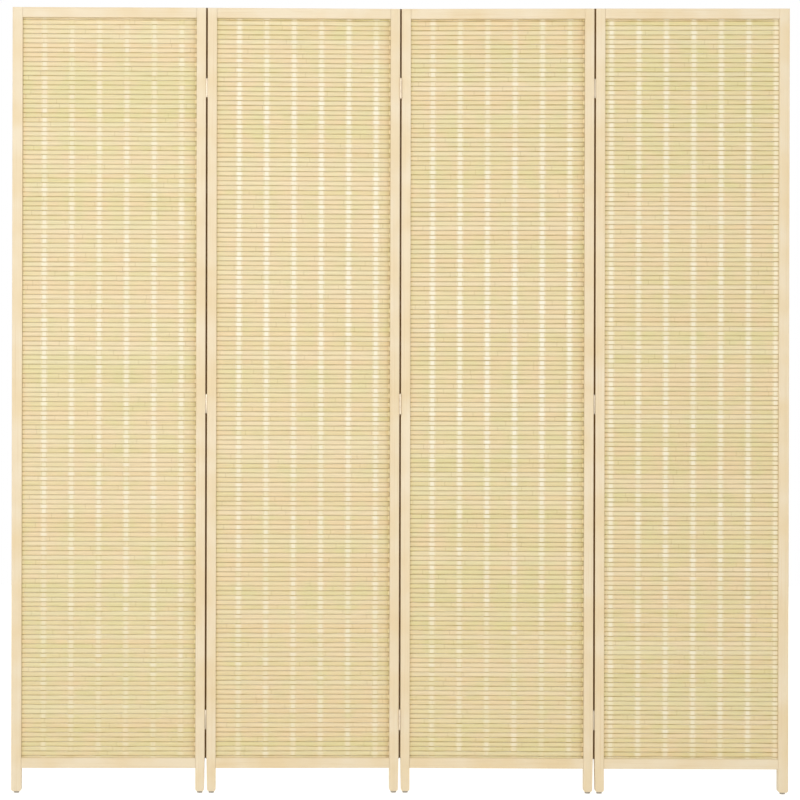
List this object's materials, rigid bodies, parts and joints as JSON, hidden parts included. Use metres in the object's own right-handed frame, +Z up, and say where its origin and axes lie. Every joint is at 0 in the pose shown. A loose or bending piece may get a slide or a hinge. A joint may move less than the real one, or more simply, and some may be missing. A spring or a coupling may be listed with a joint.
{
  "type": "folding screen",
  "caption": "Free-standing folding screen of wood-framed panels filled with woven flat slats, joined edge to edge by butt hinges so that they fold alternately forwards and back.",
  "frame": {"origin": "on the floor, under the middle of the whole screen", "axes": "+X along the screen from panel 1 to panel 4, -Y towards the front, +Z up"},
  "size_m": [1.7798, 0.0332, 1.8],
  "materials": {
    "frame_wood": "satin",
    "bamboo_slat": "satin",
    "bamboo_warp": "satin",
    "hinge_steel": "satin",
    "glide": "matte"
  },
  "bodies": {
    "panel_1": {"panel_1_stile_left": "frame_wood", "panel_1_stile_right": "frame_wood", "panel_1_rail_bottom": "frame_wood", "panel_1_rail_top": "frame_wood", "panel_1_slats": "bamboo_slat", "panel_1_warp_strips": "bamboo_warp", "panel_1_glide_left": "glide", "panel_1_glide_right": "glide", "hinge_1_2_top_leaf_left": "hinge_steel", "hinge_1_2_top_pin": "hinge_steel", "hinge_1_2_middle_leaf_left": "hinge_steel", "hinge_1_2_middle_pin": "hinge_steel", "hinge_1_2_bottom_leaf_left": "hinge_steel", "hinge_1_2_bottom_pin": "hinge_steel"},
    "panel_2": {"panel_2_stile_left": "frame_wood", "panel_2_stile_right": "frame_wood", "panel_2_rail_bottom": "frame_wood", "panel_2_rail_top": "frame_wood", "panel_2_slats": "bamboo_slat", "panel_2_warp_strips": "bamboo_warp", "panel_2_glide_left": "glide", "panel_2_glide_right": "glide", "hinge_1_2_top_leaf_right": "hinge_steel", "hinge_1_2_middle_leaf_right": "hinge_steel", "hinge_1_2_bottom_leaf_right": "hinge_steel", "hinge_2_3_top_leaf_left": "hinge_steel", "hinge_2_3_top_pin": "hinge_steel", "hinge_2_3_middle_leaf_left": "hinge_steel", "hinge_2_3_middle_pin": "hinge_steel", "hinge_2_3_bottom_leaf_left": "hinge_steel", "hinge_2_3_bottom_pin": "hinge_steel"},
    "panel_3": {"panel_3_stile_left": "frame_wood", "panel_3_stile_right": "frame_wood", "panel_3_rail_bottom": "frame_wood", "panel_3_rail_top": "frame_wood", "panel_3_slats": "bamboo_slat", "panel_3_warp_strips": "bamboo_warp", "panel_3_glide_left": "glide", "panel_3_glide_right": "glide", "hinge_2_3_top_leaf_right": "hinge_steel", "hinge_2_3_middle_leaf_right": "hinge_steel", "hinge_2_3_bottom_leaf_right": "hinge_steel", "hinge_3_4_top_leaf_left": "hinge_steel", "hinge_3_4_top_pin": "hinge_steel", "hinge_3_4_middle_leaf_left": "hinge_steel", "hinge_3_4_middle_pin": "hinge_steel", "hinge_3_4_bottom_leaf_left": "hinge_steel", "hinge_3_4_bottom_pin": "hinge_steel"},
    "panel_4": {"panel_4_stile_left": "frame_wood", "panel_4_stile_right": "frame_wood", "panel_4_rail_bottom": "frame_wood", "panel_4_rail_top": "frame_wood", "panel_4_slats": "bamboo_slat", "panel_4_warp_strips": "bamboo_warp", "panel_4_glide_left": "glide", "panel_4_glide_right": "glide", "hinge_3_4_top_leaf_right": "hinge_steel", "hinge_3_4_middle_leaf_right": "hinge_steel", "hinge_3_4_bottom_leaf_right": "hinge_steel"}
  },
  "joints": [
    {"name": "fold_1_2", "type": "hinge", "parent": "panel_2", "child": "panel_1", "pos_m": [-0.44526, 0.01077, 0.9], "axis": [0, 0, -1], "range_deg": [-0.5, 179.5]},
    {"name": "fold_2_3", "type": "hinge", "parent": "panel_2", "child": "panel_3", "pos_m": [0, -0.00609, 0.9], "axis": [0, 0, -1], "range_deg": [-2.2, 177.8]},
    {"name": "fold_3_4", "type": "hinge", "parent": "panel_3", "child": "panel_4", "pos_m": [0.44526, 0.01077, 0.9], "axis": [0, 0, 1], "range_deg": [-0.5, 179.5]}
  ]
}
